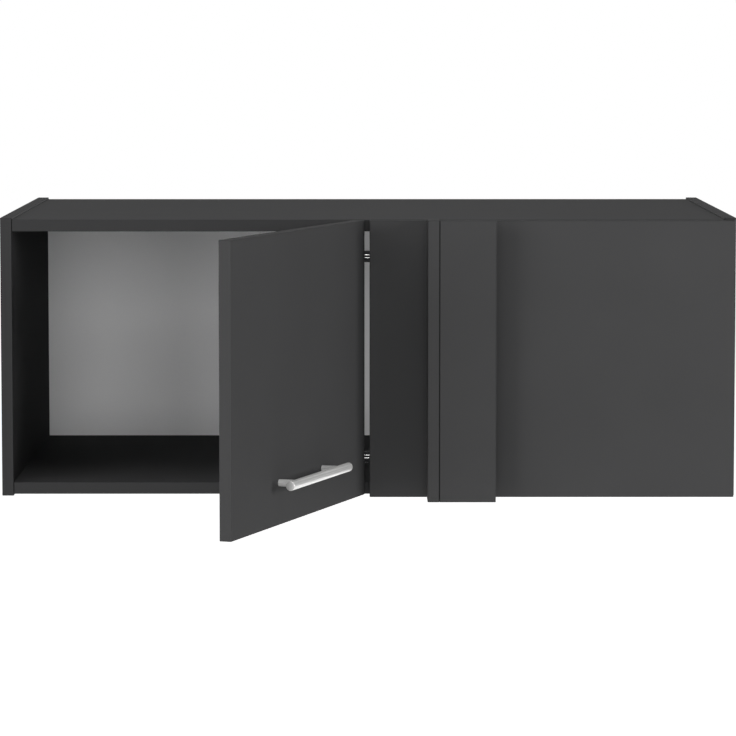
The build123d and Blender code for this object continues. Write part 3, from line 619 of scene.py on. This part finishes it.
def seenOnly(tree):
    # 1 for what the camera, glossy surfaces and glass see, 0 for the light on the object
    path = tree.nodes.new("ShaderNodeLightPath").outputs
    mirrored = maths(tree, "MAXIMUM", path["Is Glossy Ray"], path["Is Transmission Ray"])
    return maths(tree, "MAXIMUM", path["Is Camera Ray"], mirrored)


def chosen(tree, share, first, second):
    node = tree.nodes.new("ShaderNodeMixShader")
    for socket, source in zip(node.inputs, (share, first, second)):
        tree.links.new(source, socket)
    return node.outputs[0]


def addFloor():
    # Pale paint that glows white to the camera and keeps the object's shadow; from below it
    # is clear, so that the underside can be looked at
    half = studio["floorHalf"]
    height = cabinet["underside"] - studio["floorBelow"]
    corners = [(-half, -half, height), (half, -half, height), (half, half, height), (-half, half, height)]
    mesh = bpy.data.meshes.new("paleFloor")
    mesh.from_pydata(corners, [], [(0, 1, 2, 3)])
    floor = bpy.data.objects.new("paleFloor", mesh)
    bpy.context.scene.collection.objects.link(floor)
    material, tree, shader, place = startMaterial("paleFloorPaint")
    mottle = noise(tree, place, studio["mottlesPerMetre"], detail=3.0, roughness=0.5)
    tint = studio["floorColour"]
    colour = mixed(tree, mottle, tint, toned(tint, studio["floorMottle"]))
    tree.links.new(colour, shader.inputs["Base Color"])
    shader.inputs["Roughness"].default_value = studio["floorRoughness"]
    shader.inputs["Specular IOR Level"].default_value = studio["floorSheen"]
    glow = tree.nodes.new("ShaderNodeEmission")
    glow.inputs["Strength"].default_value = studio["floorGlow"]
    glowing = tree.nodes.new("ShaderNodeAddShader")
    tree.links.new(shader.outputs[0], glowing.inputs[0])
    tree.links.new(glow.outputs[0], glowing.inputs[1])
    above = chosen(tree, seenOnly(tree), shader.outputs[0], glowing.outputs[0])
    below = tree.nodes.new("ShaderNodeNewGeometry").outputs["Backfacing"]
    clear = tree.nodes.new("ShaderNodeBsdfTransparent").outputs[0]
    tree.links.new(chosen(tree, below, above, clear), tree.nodes["Material Output"].inputs["Surface"])
    mesh.materials.append(material)


def addWorld():
    # White to the camera, and a faint room light on the object
    world = bpy.data.worlds.new("paleRoom")
    bpy.context.scene.world = world
    world.use_nodes = True
    tree = world.node_tree
    backdrop = tree.nodes["Background"]
    backdrop.inputs["Color"].default_value = (1, 1, 1, 1)
    ambient = studio["ambient"]
    strength = maths(tree, "MULTIPLY_ADD", seenOnly(tree), 1 - ambient, ambient)
    tree.links.new(strength, backdrop.inputs["Strength"])


def addLamp(name, power, size, place):
    lamp = bpy.data.lights.new(name, "AREA")
    lamp.energy = power
    lamp.shape = "SQUARE"
    lamp.size = size
    holder = bpy.data.objects.new(name, lamp)
    bpy.context.scene.collection.objects.link(holder)
    holder.location = place
    towards = Vector(studio["aim"]) - Vector(place)
    holder.rotation_euler = towards.to_track_quat("-Z", "Y").to_euler()


addFloor()
addWorld()
for name, lamp in studio["lamps"].items():
    addLamp(name, lamp["power"], lamp["size"], lamp["place"])
print("room and", len(studio["lamps"]), "lamps set")

view = {
    "place": (-0.00954, -5.600, 0.32044),
    "tiltDown": 5.293,                      # degrees, as the turn
    "turn": -0.108,
    "focalPixels": 3684.88,
    "imagePixels": 736,
    "nearest": 0.05,
    "farthest": 200,
}
lens = bpy.data.cameras.new("photoCamera")
lens.lens = view["focalPixels"] / view["imagePixels"] * lens.sensor_width
lens.clip_start = view["nearest"]
lens.clip_end = view["farthest"]
camera = bpy.data.objects.new("photoCamera", lens)
bpy.context.scene.collection.objects.link(camera)
camera.location = view["place"]
camera.rotation_euler = (math.radians(90 - view["tiltDown"]), 0, math.radians(view["turn"]))
bpy.context.scene.camera = camera
bpy.context.scene.view_settings.view_transform = "Standard"
print("camera set")
